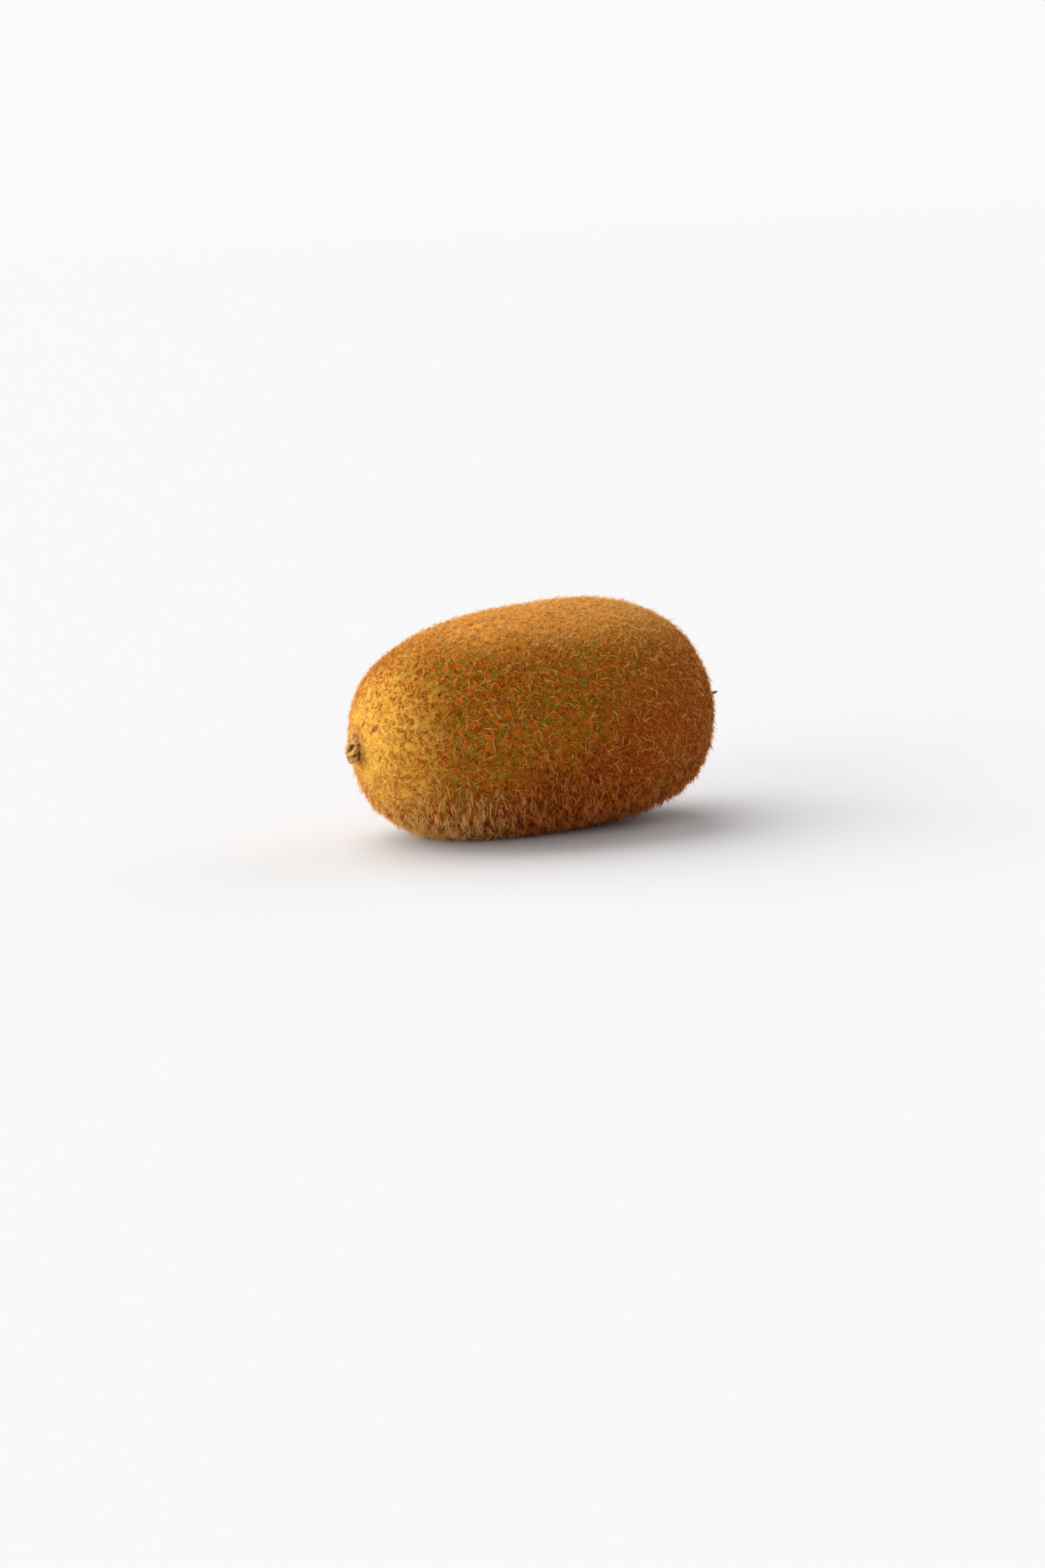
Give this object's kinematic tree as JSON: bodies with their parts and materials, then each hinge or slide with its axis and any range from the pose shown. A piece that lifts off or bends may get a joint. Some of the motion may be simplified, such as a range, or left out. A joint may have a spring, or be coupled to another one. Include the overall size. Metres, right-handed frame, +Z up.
{
  "type": "kiwi fruit",
  "caption": "Whole oval kiwi fruit with felted brown skin, a stub of stalk at one end and dried styles at the other.",
  "frame": {"origin": "on the surface that the fruit lies on, under the middle of its box", "axes": "+X along the fruit from the stalk end to the blossom end, +Z up, with the stalk end dipping 3.5 degrees"},
  "size_m": [0.0748, 0.0484, 0.0435],
  "materials": {
    "felted_skin": "matt, brown and felted with short hairs",
    "stalk_wood": "dry, rough and brown",
    "dried_style": "dry, thin and dark brown"
  },
  "bodies": {
    "root": {"fruit": "felted_skin", "stem_stub": "stalk_wood", "dried_styles": "dried_style"}
  },
  "joints": []
}
